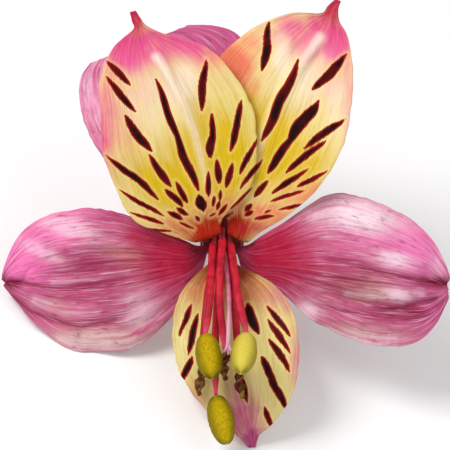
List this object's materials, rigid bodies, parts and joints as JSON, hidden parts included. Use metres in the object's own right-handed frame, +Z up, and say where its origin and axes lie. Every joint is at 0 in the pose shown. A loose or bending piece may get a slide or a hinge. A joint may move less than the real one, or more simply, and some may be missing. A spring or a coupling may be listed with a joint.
{
  "type": "cut peruvian lily bloom",
  "caption": "Single picked alstroemeria bloom with streaked inner tepals, bent stamens, ribbed ovary and a short cut stalk, lying on its back",
  "frame": {"origin": "bottom centre of the bounding box, on the surface that the bloom lies on", "axes": "+Z up, away from the surface; the open face of the bloom looks towards -Y and up, 45 degrees above the surface"},
  "size_m": [0.0682, 0.0506, 0.0569],
  "materials": {
    "outer_tepal": "soft satin petal, pink with paler veins and crimson at the base",
    "inner_tepal": "soft satin petal, yellow and cream with near-black streaks, pink tip and orange-red throat",
    "inner_tepal_lower": "soft satin petal, cream with a few dark streaks and a pink tip",
    "filament": "smooth, moist, crimson",
    "fresh_anther": "matt olive-yellow pollen",
    "spent_anther": "dry, shrivelled, brown",
    "style": "smooth, pale lilac-pink",
    "green_stalk": "smooth green skin"
  },
  "bodies": {
    "root": {"outer_tepal_top": "outer_tepal", "outer_tepal_left": "outer_tepal", "outer_tepal_right": "outer_tepal", "inner_tepal_upper_left": "inner_tepal", "inner_tepal_upper_right": "inner_tepal", "inner_tepal_lower": "inner_tepal_lower", "filament_left": "filament", "filament_right": "filament", "filament_low": "filament", "filament_back_left": "filament", "filament_back_middle": "filament", "filament_back_right": "filament", "anther_left": "fresh_anther", "anther_right": "fresh_anther", "anther_low": "fresh_anther", "anther_back_left": "spent_anther", "anther_back_middle": "spent_anther", "anther_back_right": "spent_anther", "style": "style", "ovary": "green_stalk", "pedicel": "green_stalk"}
  },
  "joints": []
}
